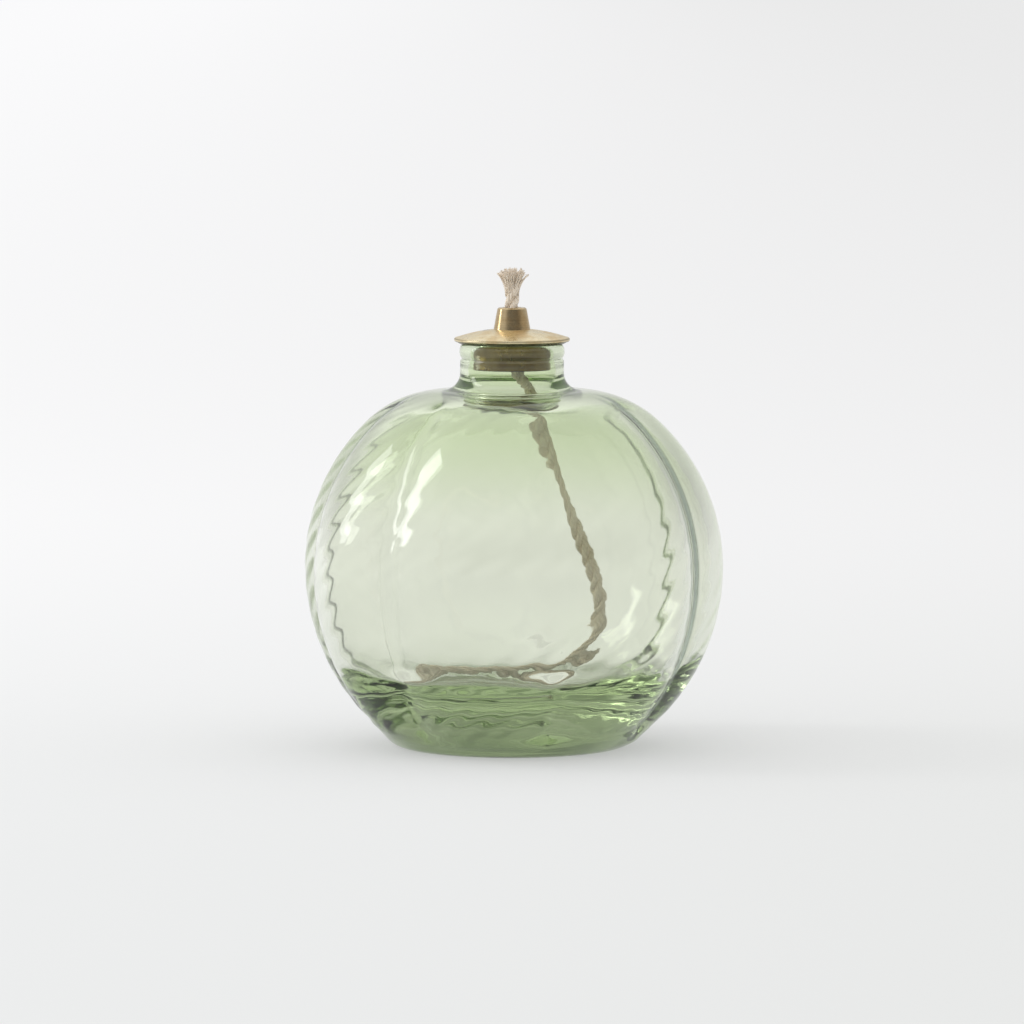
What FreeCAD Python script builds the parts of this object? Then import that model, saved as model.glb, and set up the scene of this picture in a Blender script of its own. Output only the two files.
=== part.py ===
"""Oil lamp: a melon-lobed glass globe on a heavy base, a drop-in brass burner and a cotton wick.

Millimetres. +Z is up, the origin is the centre of the foot on the table, and the front is -Y.
Each piece has its own function, and each is written as one STEP file.
"""

import FreeCAD, Part
import math
import os
from FreeCAD import Vector

# ---- driving dimensions -------------------------------------------------------------------------

# globe
GLOBE_RADIUS = 50.5         # over the crests of the lobes, at the widest height
GLOBE_CENTRE = 42.7         # height of the widest level
UPPER_RISE = 48.95          # semi-height of the upper half, a little flatter than a sphere
VALLEY_DEPTH = 3.4          # how far a valley lies inside the crests, at the widest height
VALLEY_ROUND = 0.05         # share of a lobe's width that the rounding of each valley takes
WALL = 2.6
FOOT_EDGE = 7.3             # radius of the rounded edge of the foot
PUNT_RADIUS = 17.0          # shallow hollow under the foot
PUNT_DEPTH = 0.9
LOBES_RISE = 6.0            # height over which the lobes swell out of the round foot
STATIONS = 16               # level sections that outside and inside are each lofted through

# seven lobes, a little uneven as blown: their valleys, in degrees about +Z from +X
VALLEYS = [189.0, 231.5, 284.0, 338.0, 387.0, 442.0, 498.0]

# heavy base
FLOOR_HEIGHT = 15.0         # inner floor above the table, at the axis
FLOOR_DISH = 0.9            # rise of the floor out to its corner
FLOOR_CORNER = 13.0         # radius between floor and wall
FLOOR_ROUND = 1.8           # height of the round start of that bend, below the lobes

# shoulder and neck
SHOULDER_RADIUS = 28.0      # the shoulder's bend, from the globe in to the neck
SHOULDER_OUTER = 35.5       # radius where that bend leaves the globe
SHOULDER_ROUND = 21.0       # inside this radius the shoulder is round, with no lobes
LOBES_FALL = 4.0            # height over which the lobes fade into that round shoulder
NECK_RADIUS = 12.4
NECK_FILLET = 4.2
NECK_STRAIGHT = 2.3         # from the fillet up to the lip
NECK_BORE = 10.5
NECK_ROOT = 2.5             # radius inside, where the bore opens into the globe
LIP_BORE = 10.0             # the fire-polished lip is thicker inwards
LIP_HEIGHT = 4.6
LIP_SWELL = 0.2             # how far the lip stands out of the neck
LIP_RAMP = 0.4              # height over which it does
LIP_ROUNDING = 1.1

# burner
PLATE_RADIUS = 13.8
PLATE_EDGE = 1.0            # thickness of the plate's rounded edge
PLATE_UNDERCUT = 0.5        # the edge's underside, above the rim's level
PLATE_SEAT = 3.4            # turned flat for the nozzle, above the rim's level
CUP_GAP = 0.8               # cup to lip, all round
CUP_WALL = 0.6
CUP_WEB = 0.8
CUP_DEPTH = 6.1
CUP_EDGE = 0.2              # broken edges of the cup
NOZZLE_BASE = 4.4
NOZZLE_TOP = 3.45
NOZZLE_HEIGHT = 5.2
NOZZLE_EDGE = 0.3
SEAT_MARGIN = 0.35          # flat seat around the nozzle's base
SHANK_RADIUS = 2.5
SHANK_BELOW_NUT = 0.3
SHANK_FIT = 0.05            # shank in the holes of plate, cup and nut
NUT_FLATS = 7.0
NUT_HEIGHT = 2.0
VENT_RADIUS = 0.75
VENT_PLACE = 6.3            # from the axis
VENT_ANGLE = 165.0          # degrees about +Z from +X

# wick
WICK_RADIUS = 1.75
WICK_FIT = 0.15             # wick in the nozzle's bore, all round
WICK_STEM = 4.4             # straight stretch above the nozzle
WICK_HEAD = 5.1             # frayed stretch above that
HEAD_WIDEST = 4.1           # how far up that stretch the fray is widest
HEAD_RADIUS = 3.2

# route of the free wick, laid by hand from inside the nozzle down to its cut end on the glass floor
TAIL_ROUTE = [
    (0.0, 0.0, 97.0),
    (0.0, 0.0, 92.6),
    (2.5, 0.5, 86.0),
    (5.4, 1.3, 77.0),
    (9.4, 2.6, 66.5),
    (14.3, 4.2, 55.5),
    (18.9, 6.0, 45.0),
    (22.1, 7.4, 34.5),
    (21.2, 8.8, 25.0),
    (14.4, 8.0, 18.2),
    (5.0, 2.2, 17.0),
    (-3.6, -5.6, 16.95),
    (-13.6, -7.4, 17.15),
    (-22.6, -2.6, 17.5),
]
BEND_SHARE = 0.45           # of the shorter run, taken by the arc at each point

# ---- sizes worked out from those ----------------------------------------------------------------

VALLEY_SHARE = VALLEY_DEPTH / GLOBE_RADIUS

# the shoulder's bend leaves the globe's ellipse along its tangent, and the neck's fillet sits on it
LEAVE_SHARE = math.sqrt(1 - (SHOULDER_OUTER / GLOBE_RADIUS) ** 2)
LEAVE_HEIGHT = GLOBE_CENTRE + UPPER_RISE * LEAVE_SHARE
LEAVE_SLOPE = math.atan2(UPPER_RISE * SHOULDER_OUTER, GLOBE_RADIUS ** 2 * LEAVE_SHARE)
SHOULDER_CENTRE = (
    SHOULDER_OUTER - SHOULDER_RADIUS * math.sin(LEAVE_SLOPE),
    LEAVE_HEIGHT - SHOULDER_RADIUS * math.cos(LEAVE_SLOPE),
)
FILLET_RADIUS = NECK_RADIUS + NECK_FILLET
FILLET_REACH = math.sqrt((SHOULDER_RADIUS + NECK_FILLET) ** 2 - (FILLET_RADIUS - SHOULDER_CENTRE[0]) ** 2)
FILLET_HEIGHT = SHOULDER_CENTRE[1] + FILLET_REACH
LIP_LOW = FILLET_HEIGHT + NECK_STRAIGHT
RIM_HEIGHT = LIP_LOW + LIP_HEIGHT

CUP_RADIUS = LIP_BORE - CUP_GAP
CUP_MOUTH = RIM_HEIGHT - CUP_DEPTH
NUT_SEAT = RIM_HEIGHT - CUP_WEB
SHANK_HOLE = SHANK_RADIUS + SHANK_FIT
SHANK_END = NUT_SEAT - NUT_HEIGHT - SHANK_BELOW_NUT
NOZZLE_SEAT = RIM_HEIGHT + PLATE_SEAT
NOZZLE_MOUTH = NOZZLE_SEAT + NOZZLE_HEIGHT
WICK_BORE = WICK_RADIUS + WICK_FIT
CORE_END = TAIL_ROUTE[0][2]


def polar(radius, degrees, height):
    """A point at this radius and angle about the axis."""
    angle = math.radians(degrees)
    return Vector(radius * math.cos(angle), radius * math.sin(angle), height)


def line(start, end):
    return Part.LineSegment(start, end).toShape()


def arc(start, middle, end):
    return Part.Arc(start, middle, end).toShape()


def bend(centre, radius, start_degrees, end_degrees):
    """An arc in the XZ plane about a centre given as (x, z)."""
    points = []
    for degrees in (start_degrees, (start_degrees + end_degrees) / 2, end_degrees):
        angle = math.radians(degrees)
        x = centre[0] + radius * math.cos(angle)
        z = centre[1] + radius * math.sin(angle)
        points.append(Vector(x, 0, z))
    return arc(*points)


def cap(low, high):
    """An arc in the XZ plane about a centre on the axis, between two points given as (x, z)."""
    centre = (high[0] ** 2 + high[1] ** 2 - low[0] ** 2 - low[1] ** 2) / (2 * (high[1] - low[1]))
    start = math.degrees(math.atan2(low[1] - centre, low[0]))
    end = math.degrees(math.atan2(high[1] - centre, high[0]))
    return bend((0, centre), math.hypot(low[0], low[1] - centre), start, end)


def turned(edges):
    """The solid turned about the axis from a closed outline of edges in the XZ plane."""
    face = Part.Face(Part.Wire(Part.__sortEdges__(edges)))
    return face.revolve(Vector(0, 0, 0), Vector(0, 0, 1), 360)


def turned_polygon(points):
    corners = [Vector(x, 0, z) for x, z in points]
    return turned([line(a, b) for a, b in zip(corners, corners[1:] + corners[:1])])


class Profile:
    """The crest line of the globe, outside (inset 0) or inside (inset by the wall)."""

    def __init__(self, inset):
        self.radius = GLOBE_RADIUS - inset
        self.rise = UPPER_RISE - inset
        self.bend = SHOULDER_RADIUS - inset
        self.leave = SHOULDER_CENTRE[1] + self.bend * math.cos(LEAVE_SLOPE)

    def at(self, height):
        """Crest radius at this height."""
        above = height - GLOBE_CENTRE
        if height >= self.leave:
            up = height - SHOULDER_CENTRE[1]
            return SHOULDER_CENTRE[0] + math.sqrt(self.bend ** 2 - up ** 2)
        rise = self.rise if above > 0 else self.radius
        return self.radius * math.sqrt(1 - (above / rise) ** 2)

    def shoulder_height(self, radius):
        """Height of the shoulder's bend at this radius."""
        return SHOULDER_CENTRE[1] + math.sqrt(self.bend ** 2 - (radius - SHOULDER_CENTRE[0]) ** 2)


def smooth(share):
    """0 to 1, level at both ends."""
    share = min(max(share, 0.0), 1.0)
    return share * share * (3 - 2 * share)


def valley_arc(valley, flank, start, turn, height):
    """An arc that is level at the bottom of a valley and ends on the flank of a lobe beside it."""
    bottom = polar(valley, start, height)
    side = polar(flank, start + turn, height)
    reach = (valley ** 2 - flank ** 2) / (2 * (valley - flank * math.cos(math.radians(turn))))
    centre = polar(reach, start, height)
    ways = bottom - centre + side - centre
    return arc(bottom, centre + ways.normalize() * abs(valley - reach), side)


def lobed_wire(crest, depth, height):
    """A level section of lobes whose round crests run over into round valleys this deep."""
    valley = crest - depth
    flank = valley + depth * 2 * VALLEY_ROUND
    edges = []
    for start, end in zip(VALLEYS, VALLEYS[1:] + [VALLEYS[0] + 360]):
        turn = (end - start) * VALLEY_ROUND
        edges.append(valley_arc(valley, flank, start, turn, height))
        edges.append(arc(
            polar(flank, start + turn, height),
            polar(crest, (start + end) / 2, height),
            polar(flank, end - turn, height),
        ))
        edges.append(valley_arc(valley, flank, end, -turn, height))
    return Part.Wire(edges)


def lobed_solid(crest_at, low, high):
    """Lofted between two heights through lobed sections that are round at both ends."""
    wires = []
    for station in range(STATIONS + 1):
        # stations crowd towards the ends, where the outline turns in
        share = 0.5 - 0.5 * math.cos(math.pi * station / STATIONS)
        height = low + (high - low) * share
        swell = smooth((height - low) / LOBES_RISE) * smooth((high - height) / LOBES_FALL)
        crest = crest_at(height)
        wires.append(lobed_wire(crest, crest * VALLEY_SHARE * swell, height))
    return Part.makeLoft(wires, True, False)


def glass_outside():
    """Foot, lobed globe, shoulder and neck, without the hollow."""
    crest = Profile(0)
    foot_radius = math.sqrt((GLOBE_RADIUS - FOOT_EDGE) ** 2 - (GLOBE_CENTRE - FOOT_EDGE) ** 2)
    leave = math.degrees(math.atan2(FOOT_EDGE - GLOBE_CENTRE, foot_radius))
    low = FOOT_EDGE + FOOT_EDGE * math.sin(math.radians(leave))
    low_radius = foot_radius + FOOT_EDGE * math.cos(math.radians(leave))
    foot = turned([
        line(Vector(0, 0, low), Vector(0, 0, 0)),
        line(Vector(0, 0, 0), Vector(foot_radius, 0, 0)),
        bend((foot_radius, FOOT_EDGE), FOOT_EDGE, -90, leave),
        line(Vector(low_radius, 0, low), Vector(0, 0, low)),
    ])
    high = crest.shoulder_height(SHOULDER_ROUND)
    globe = lobed_solid(crest.at, low, high)

    meet = math.degrees(math.atan2(FILLET_REACH, FILLET_RADIUS - SHOULDER_CENTRE[0]))
    start = math.degrees(math.atan2(high - SHOULDER_CENTRE[1], SHOULDER_ROUND - SHOULDER_CENTRE[0]))
    lip_radius = NECK_RADIUS + LIP_SWELL
    top = RIM_HEIGHT - LIP_ROUNDING
    neck = turned([
        line(Vector(0, 0, high), Vector(SHOULDER_ROUND, 0, high)),
        bend(SHOULDER_CENTRE, SHOULDER_RADIUS, start, meet),
        bend((FILLET_RADIUS, FILLET_HEIGHT), NECK_FILLET, meet + 180, 180),
        line(Vector(NECK_RADIUS, 0, FILLET_HEIGHT), Vector(NECK_RADIUS, 0, LIP_LOW)),
        line(Vector(NECK_RADIUS, 0, LIP_LOW), Vector(lip_radius, 0, LIP_LOW + LIP_RAMP)),
        line(Vector(lip_radius, 0, LIP_LOW + LIP_RAMP), Vector(lip_radius, 0, top)),
        bend((lip_radius - LIP_ROUNDING, top), LIP_ROUNDING, 0, 90),
        line(Vector(lip_radius - LIP_ROUNDING, 0, RIM_HEIGHT), Vector(0, 0, RIM_HEIGHT)),
        line(Vector(0, 0, RIM_HEIGHT), Vector(0, 0, high)),
    ])
    return globe.fuse([foot, neck])


def glass_hollow():
    """The hollow: dished floor, lobed inside of the globe, and the bore of neck and lip."""
    crest = Profile(WALL)
    corner_height = FLOOR_HEIGHT + FLOOR_DISH + FLOOR_CORNER
    corner_radius = math.sqrt((crest.radius - FLOOR_CORNER) ** 2 - (GLOBE_CENTRE - corner_height) ** 2)
    reach = crest.radius / (crest.radius - FLOOR_CORNER)
    corner_top = GLOBE_CENTRE - (GLOBE_CENTRE - corner_height) * reach

    def inside(height):
        if height >= corner_top:
            return crest.at(height)
        return corner_radius + math.sqrt(FLOOR_CORNER ** 2 - (corner_height - height) ** 2)

    low = FLOOR_HEIGHT + FLOOR_ROUND
    turn = math.degrees(math.atan2(low - corner_height, inside(low) - corner_radius))
    floor = turned([
        cap((0, FLOOR_HEIGHT), (corner_radius, FLOOR_HEIGHT + FLOOR_DISH)),
        bend((corner_radius, corner_height), FLOOR_CORNER, -90, turn),
        line(Vector(inside(low), 0, low), Vector(0, 0, low)),
        line(Vector(0, 0, low), Vector(0, 0, FLOOR_HEIGHT)),
    ])
    high = crest.shoulder_height(SHOULDER_ROUND)
    globe = lobed_solid(inside, low, high)

    root_radius = NECK_BORE + NECK_ROOT
    across = root_radius - SHOULDER_CENTRE[0]
    reach = math.sqrt((crest.bend + NECK_ROOT) ** 2 - across ** 2)
    root_height = SHOULDER_CENTRE[1] + reach
    meet = math.degrees(math.atan2(reach, across))
    start = math.degrees(math.atan2(high - SHOULDER_CENTRE[1], SHOULDER_ROUND - SHOULDER_CENTRE[0]))
    step = NECK_BORE - LIP_BORE
    top = RIM_HEIGHT - LIP_ROUNDING
    throat = turned([
        line(Vector(0, 0, high), Vector(SHOULDER_ROUND, 0, high)),
        bend(SHOULDER_CENTRE, crest.bend, start, meet),
        bend((root_radius, root_height), NECK_ROOT, meet + 180, 180),
        line(Vector(NECK_BORE, 0, root_height), Vector(NECK_BORE, 0, LIP_LOW - step)),
        line(Vector(NECK_BORE, 0, LIP_LOW - step), Vector(LIP_BORE, 0, LIP_LOW + step)),
        line(Vector(LIP_BORE, 0, LIP_LOW + step), Vector(LIP_BORE, 0, top)),
        bend((LIP_BORE + LIP_ROUNDING, top), LIP_ROUNDING, 180, 90),
        line(Vector(LIP_BORE + LIP_ROUNDING, 0, RIM_HEIGHT), Vector(0, 0, RIM_HEIGHT)),
        line(Vector(0, 0, RIM_HEIGHT), Vector(0, 0, high)),
    ])
    return globe.fuse([floor, throat])


def glass_punt():
    """The shallow hollow under the foot."""
    return turned([
        cap((PUNT_RADIUS, 0), (0, PUNT_DEPTH)),
        line(Vector(0, 0, PUNT_DEPTH), Vector(0, 0, 0)),
        line(Vector(0, 0, 0), Vector(PUNT_RADIUS, 0, 0)),
    ])


def glass_vessel():
    return glass_outside().cut([glass_hollow(), glass_punt()])


def vent_drill():
    """The drill that makes the vent through plate and cup in one go."""
    start = polar(VENT_PLACE, VENT_ANGLE, CUP_MOUTH)
    return Part.makeCylinder(VENT_RADIUS, NOZZLE_MOUTH - CUP_MOUTH, start)


def burner_plate():
    """Domed plate with a rounded edge, a flat underside and a turned seat for the nozzle."""
    edge = PLATE_EDGE / 2
    edge_height = RIM_HEIGHT + PLATE_UNDERCUT + edge
    seat = NOZZLE_BASE + SEAT_MARGIN
    rim = PLATE_RADIUS - edge
    plate = turned([
        line(Vector(SHANK_HOLE, 0, RIM_HEIGHT), Vector(NECK_RADIUS, 0, RIM_HEIGHT)),
        line(Vector(NECK_RADIUS, 0, RIM_HEIGHT), Vector(rim, 0, edge_height - edge)),
        bend((rim, edge_height), edge, -90, 90),
        cap((rim, edge_height + edge), (seat, NOZZLE_SEAT)),
        line(Vector(seat, 0, NOZZLE_SEAT), Vector(SHANK_HOLE, 0, NOZZLE_SEAT)),
        line(Vector(SHANK_HOLE, 0, NOZZLE_SEAT), Vector(SHANK_HOLE, 0, RIM_HEIGHT)),
    ])
    return plate.cut(vent_drill())


def plug_collar():
    """Inverted cup that centres the burner in the lip; its web is clamped under the plate."""
    inner = CUP_RADIUS - CUP_WALL
    cup = turned_polygon([
        (SHANK_HOLE, RIM_HEIGHT),
        (CUP_RADIUS - CUP_EDGE, RIM_HEIGHT),
        (CUP_RADIUS, RIM_HEIGHT - CUP_EDGE),
        (CUP_RADIUS, CUP_MOUTH + CUP_EDGE),
        (CUP_RADIUS - CUP_EDGE, CUP_MOUTH),
        (inner, CUP_MOUTH),
        (inner, NUT_SEAT),
        (SHANK_HOLE, NUT_SEAT),
    ])
    return cup.cut(vent_drill())


def wick_nozzle():
    """Cone above the plate, on a shank that reaches down through plate, cup and nut."""
    lean = (NOZZLE_BASE - NOZZLE_TOP) / NOZZLE_HEIGHT
    return turned_polygon([
        (WICK_BORE + NOZZLE_EDGE, SHANK_END),
        (SHANK_RADIUS, SHANK_END),
        (SHANK_RADIUS, NOZZLE_SEAT),
        (NOZZLE_BASE, NOZZLE_SEAT),
        (NOZZLE_TOP + lean * NOZZLE_EDGE, NOZZLE_MOUTH - NOZZLE_EDGE),
        (NOZZLE_TOP - NOZZLE_EDGE, NOZZLE_MOUTH),
        (WICK_BORE + NOZZLE_EDGE, NOZZLE_MOUTH),
        (WICK_BORE, NOZZLE_MOUTH - NOZZLE_EDGE),
        (WICK_BORE, SHANK_END + NOZZLE_EDGE),
    ])


def lock_nut():
    """Thin hex nut with chamfered corners, tightened against the cup's web."""
    corner = NUT_FLATS / math.sqrt(3)
    chamfer = corner - NUT_FLATS / 2
    points = [polar(corner, 30 + 60 * side, NUT_SEAT - NUT_HEIGHT) for side in range(6)]
    hexagon = Part.Face(Part.makePolygon(points + points[:1])).extrude(Vector(0, 0, NUT_HEIGHT))
    low = NUT_SEAT - NUT_HEIGHT
    blank = turned_polygon([
        (SHANK_HOLE, low),
        (corner - chamfer, low),
        (corner, low + chamfer),
        (corner, NUT_SEAT),
        (SHANK_HOLE, NUT_SEAT),
    ])
    return hexagon.common(blank)


def wick_core():
    """The stretch held in the nozzle."""
    return Part.makeCylinder(WICK_RADIUS, NOZZLE_MOUTH - CORE_END, Vector(0, 0, CORE_END))


def wick_tip():
    """The stem above the nozzle and the frayed head, as one turned form."""
    stem = NOZZLE_MOUTH + WICK_STEM
    top = stem + WICK_HEAD
    widest = stem + HEAD_WIDEST
    flare = Part.BSplineCurve()
    flare.interpolate(
        Points=[
            Vector(WICK_RADIUS, 0, stem),
            Vector((WICK_RADIUS + HEAD_RADIUS) / 2, 0, stem + HEAD_WIDEST / 2),
            Vector(HEAD_RADIUS, 0, widest),
        ],
        InitialTangent=Vector(0, 0, 1),
        FinalTangent=Vector(0.2, 0, 1),
    )
    return turned([
        line(Vector(0, 0, NOZZLE_MOUTH), Vector(WICK_RADIUS, 0, NOZZLE_MOUTH)),
        line(Vector(WICK_RADIUS, 0, NOZZLE_MOUTH), Vector(WICK_RADIUS, 0, stem)),
        flare.toShape(),
        cap((HEAD_RADIUS, widest), (0, top)),
        line(Vector(0, 0, top), Vector(0, 0, NOZZLE_MOUTH)),
    ])


def wick_tail():
    """The free wick: straight runs of the route joined by tangent arcs, swept with the wick's circle."""
    points = [Vector(*p) for p in TAIL_ROUTE]
    edges = []
    start = points[0]
    for before, corner, after in zip(points, points[1:], points[2:]):
        back = (before - corner).normalize()
        on = (after - corner).normalize()
        reach = BEND_SHARE * min(before.distanceToPoint(corner), corner.distanceToPoint(after))
        half_turn = (math.pi - back.getAngle(on)) / 2
        radius = reach / math.tan(half_turn)
        inward = (back + on).normalize()
        middle = corner + inward * (radius / math.cos(half_turn) - radius)
        enter = corner + back * reach
        leave = corner + on * reach
        edges.append(line(start, enter))
        edges.append(arc(enter, middle, leave))
        start = leave
        print("wick bend of radius %.1f mm, %.1f diameters" % (radius, radius / (2 * WICK_RADIUS)))
    edges.append(line(start, points[-1]))
    path = Part.Wire(edges)
    length = path.Length
    ring = Part.Wire(Part.makeCircle(WICK_RADIUS, points[0], points[1] - points[0]))
    tail = path.makePipeShell([ring], True, True)
    ratio = tail.Volume / (math.pi * WICK_RADIUS ** 2 * length)
    print("free wick %.1f mm long, volume / (section x length) = %.4f" % (length, ratio))
    return tail


PIECES = {
    "glass_vessel": glass_vessel,
    "burner_plate": burner_plate,
    "plug_collar": plug_collar,
    "wick_nozzle": wick_nozzle,
    "lock_nut": lock_nut,
    "wick_core": wick_core,
    "wick_tip": wick_tip,
    "wick_tail": wick_tail,
}

os.makedirs("parts", exist_ok=True)
for name, make in PIECES.items():
    shape = make()
    box = shape.BoundBox
    print("%-13s %d solid, valid %s, volume %.1f mm3, z %.2f to %.2f" % (
        name, len(shape.Solids), shape.isValid(), shape.Volume, box.ZMin, box.ZMax))
    shape.exportStep("parts/%s.step" % name)
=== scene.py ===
"""The looks of a melon-lobed glass oil lamp, made round its packed construction model.

Everything is in metres and in the frame of that model: +Z up, the origin at the centre of the foot,
the front at -Y. Azimuths are in degrees about +Z from +X. It is laid out as an add-on with one
operator for each piece or group of like pieces, and runs as a script.
"""

import math
import random

import bpy
import numpy as np
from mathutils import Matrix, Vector


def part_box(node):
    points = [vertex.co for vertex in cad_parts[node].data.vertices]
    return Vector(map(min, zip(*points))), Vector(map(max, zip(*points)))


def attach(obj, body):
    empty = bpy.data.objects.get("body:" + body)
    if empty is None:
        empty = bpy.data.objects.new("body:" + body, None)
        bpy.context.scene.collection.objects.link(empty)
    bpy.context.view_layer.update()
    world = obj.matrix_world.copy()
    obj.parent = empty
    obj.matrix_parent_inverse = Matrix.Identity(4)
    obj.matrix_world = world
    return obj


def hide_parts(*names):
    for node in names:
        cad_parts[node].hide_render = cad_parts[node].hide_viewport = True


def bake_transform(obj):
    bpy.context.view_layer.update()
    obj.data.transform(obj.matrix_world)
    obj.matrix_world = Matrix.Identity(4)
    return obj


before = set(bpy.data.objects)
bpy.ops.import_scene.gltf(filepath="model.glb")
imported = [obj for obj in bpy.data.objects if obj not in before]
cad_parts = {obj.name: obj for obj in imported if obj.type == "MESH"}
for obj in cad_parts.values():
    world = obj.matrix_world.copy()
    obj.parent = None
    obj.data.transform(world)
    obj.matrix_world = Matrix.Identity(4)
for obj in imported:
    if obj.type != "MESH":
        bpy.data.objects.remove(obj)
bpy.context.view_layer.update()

bl_info = {
    "name": "Glass Oil Lamp",
    "version": (1, 0, 0),
    "blender": (4, 5, 0),
    "location": "3D View > Sidebar > Oil Lamp",
    "description": "Makes a lobed glass oil lamp with a brass burner and a cotton wick",
    "category": "Add Mesh",
}

MM = 0.001


# ---- helpers ----


def linear(code):
    """The linear colour of an sRGB hex value."""
    shares = [int(code[i:i + 2], 16) / 255 for i in (1, 3, 5)]
    return tuple(s / 12.92 if s <= 0.04045 else ((s + 0.055) / 1.055) ** 2.4 for s in shares)


def add(tree, kind, inputs=None, **settings):
    """A new node with its settings, its input values and the links into it."""
    node = tree.nodes.new(kind)
    for name, value in settings.items():
        setattr(node, name, value)
    for key, value in (inputs or {}).items():
        if isinstance(value, bpy.types.NodeSocket):
            tree.links.new(value, node.inputs[key])
        else:
            node.inputs[key].default_value = value
    return node


# settings of a Map Range node that eases in and out
EASED = {"interpolation_type": "SMOOTHSTEP"}


def blank_material(name):
    material = bpy.data.materials.new(name)
    material.use_nodes = True
    material.node_tree.nodes.clear()
    return material, material.node_tree


def put_finish(piece, material):
    piece.data.materials.clear()
    piece.data.materials.append(material)


def new_piece(name, points, faces, smooth=True):
    mesh = bpy.data.meshes.new(name)
    mesh.from_pydata([tuple(p) for p in points], [], faces)
    mesh.validate()
    if smooth:
        mesh.shade_smooth()
    piece = bpy.data.objects.new(name, mesh)
    bpy.context.scene.collection.objects.link(piece)
    return piece


def smoothstep(share):
    share = np.clip(share, 0.0, 1.0)
    return share * share * (3 - 2 * share)


# ---- what a user would change ----


class LampStageSettings(bpy.types.PropertyGroup):
    camera_distance: bpy.props.FloatProperty(
        name="Camera distance", description="From the camera to the middle of the lamp",
        default=1.8, unit="LENGTH")
    camera_rise: bpy.props.FloatProperty(
        name="Camera rise", description="Angle of the camera above the horizon",
        default=math.radians(5.0), subtype="ANGLE")
    camera_aim: bpy.props.FloatProperty(
        name="Aim height", description="Height that the camera looks at",
        default=0.0561, unit="LENGTH")
    lens: bpy.props.FloatProperty(
        name="Lens", description="Focal length on a 36 mm sensor", default=265.1, unit="CAMERA")
    window_power: bpy.props.FloatProperty(
        name="Window power", description="Light from the tall window at the left",
        default=2.4, unit="POWER")
    ceiling_light: bpy.props.FloatProperty(
        name="Ceiling", description="Strength of the light from above", default=1.03)
    wall_light: bpy.props.FloatProperty(
        name="Walls", description="Strength of the light from the side walls", default=0.65)
    front_light: bpy.props.FloatProperty(
        name="Front wall", description="Strength of the light from behind the camera", default=0.08)
    skirt_light: bpy.props.FloatProperty(
        name="Skirt", description="Strength of the light from low down, all round", default=0.8)
    left_share: bpy.props.FloatProperty(
        name="Left share", description="Light from the window's side, as a share of the mean",
        default=1.15)
    # painted light: these four colours make the paper lighter on the window's side and darker away
    # from it, and the front right darker as a painted soft shadow
    near_left: bpy.props.FloatVectorProperty(
        name="Floor, left", description="Paper under the lamp, on the window's side",
        default=linear("#F1F2F3"), subtype="COLOR")
    near_right: bpy.props.FloatVectorProperty(
        name="Floor, right", description="Paper under the lamp, away from the window",
        default=linear("#E4E5E3"), subtype="COLOR")
    far_left: bpy.props.FloatVectorProperty(
        name="Backdrop, left", description="Paper behind the lamp, on the window's side",
        default=linear("#FEFEFF"), subtype="COLOR")
    far_right: bpy.props.FloatVectorProperty(
        name="Backdrop, right", description="Paper behind the lamp, away from the window",
        default=linear("#EDEDED"), subtype="COLOR")
    paper_glow: bpy.props.FloatProperty(
        name="Paper glow", description="Share of the paper's white that no shadow reaches",
        default=0.5, min=0.0, max=1.0, subtype="FACTOR")


class LampGlassSettings(bpy.types.PropertyGroup):
    valley_depth: bpy.props.FloatProperty(
        name="Valley depth", description="How far a valley lies inside the crests",
        default=3.4 * MM, unit="LENGTH")
    rib_pitch: bpy.props.FloatProperty(
        name="Rib pitch", description="Height from one slanting rib to the next",
        default=6.7 * MM, unit="LENGTH")
    rib_height: bpy.props.FloatProperty(
        name="Rib height", description="How far the slanting ribs stand out",
        default=0.075 * MM, unit="LENGTH")
    rib_starts: bpy.props.IntProperty(
        name="Rib starts", description="Ribs that cross the equator, all round", default=35)
    skin: bpy.props.FloatVectorProperty(
        name="Skin", description="Colour that one wall of the globe lets through",
        default=linear("#F5F7EF"), subtype="COLOR")
    neck_skin: bpy.props.FloatVectorProperty(
        name="Neck skin",
        description="The same where the glass was gathered, at the shoulder and neck",
        default=linear("#E9F1DA"), subtype="COLOR")
    # painted shade: the colour laid along two of the valleys, which are not thicker
    valley_painted_shade: bpy.props.FloatVectorProperty(
        name="Pinched skin", description="The same along the valleys that were pinched thick",
        default=linear("#6A7B70"), subtype="COLOR")
    # painted shade: the foot is darkened towards the table, for the shaded paper seen through the
    # base
    foot_painted_shade: bpy.props.FloatVectorProperty(
        name="Foot skin",
        description="The same at the foot, where the paper and the scuffs dull it",
        default=linear("#96A188"), subtype="COLOR")
    tint: bpy.props.FloatVectorProperty(
        name="Tint", description="Colour that thick glass lets through",
        default=linear("#B3CB82"), subtype="COLOR")
    density: bpy.props.FloatProperty(
        name="Density", description="How fast thick glass takes the other colours out, per metre",
        default=18.5)


class LampBrassSettings(bpy.types.PropertyGroup):
    plate_colour: bpy.props.FloatVectorProperty(
        name="Plate", description="Satin brass of the domed plate",
        default=linear("#F1E2BA"), subtype="COLOR")
    nozzle_colour: bpy.props.FloatVectorProperty(
        name="Nozzle", description="Polished brass of the nozzle",
        default=linear("#CDB78F"), subtype="COLOR")
    # painted shade: the cup's colour is far darker than brass, for its place under the plate
    cup_colour: bpy.props.FloatVectorProperty(
        name="Cup", description="Drawn brass of the cup",
        default=linear("#887042"), subtype="COLOR")
    nut_colour: bpy.props.FloatVectorProperty(
        name="Nut", description="Milled brass of the lock nut",
        default=linear("#B79F66"), subtype="COLOR")


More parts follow.
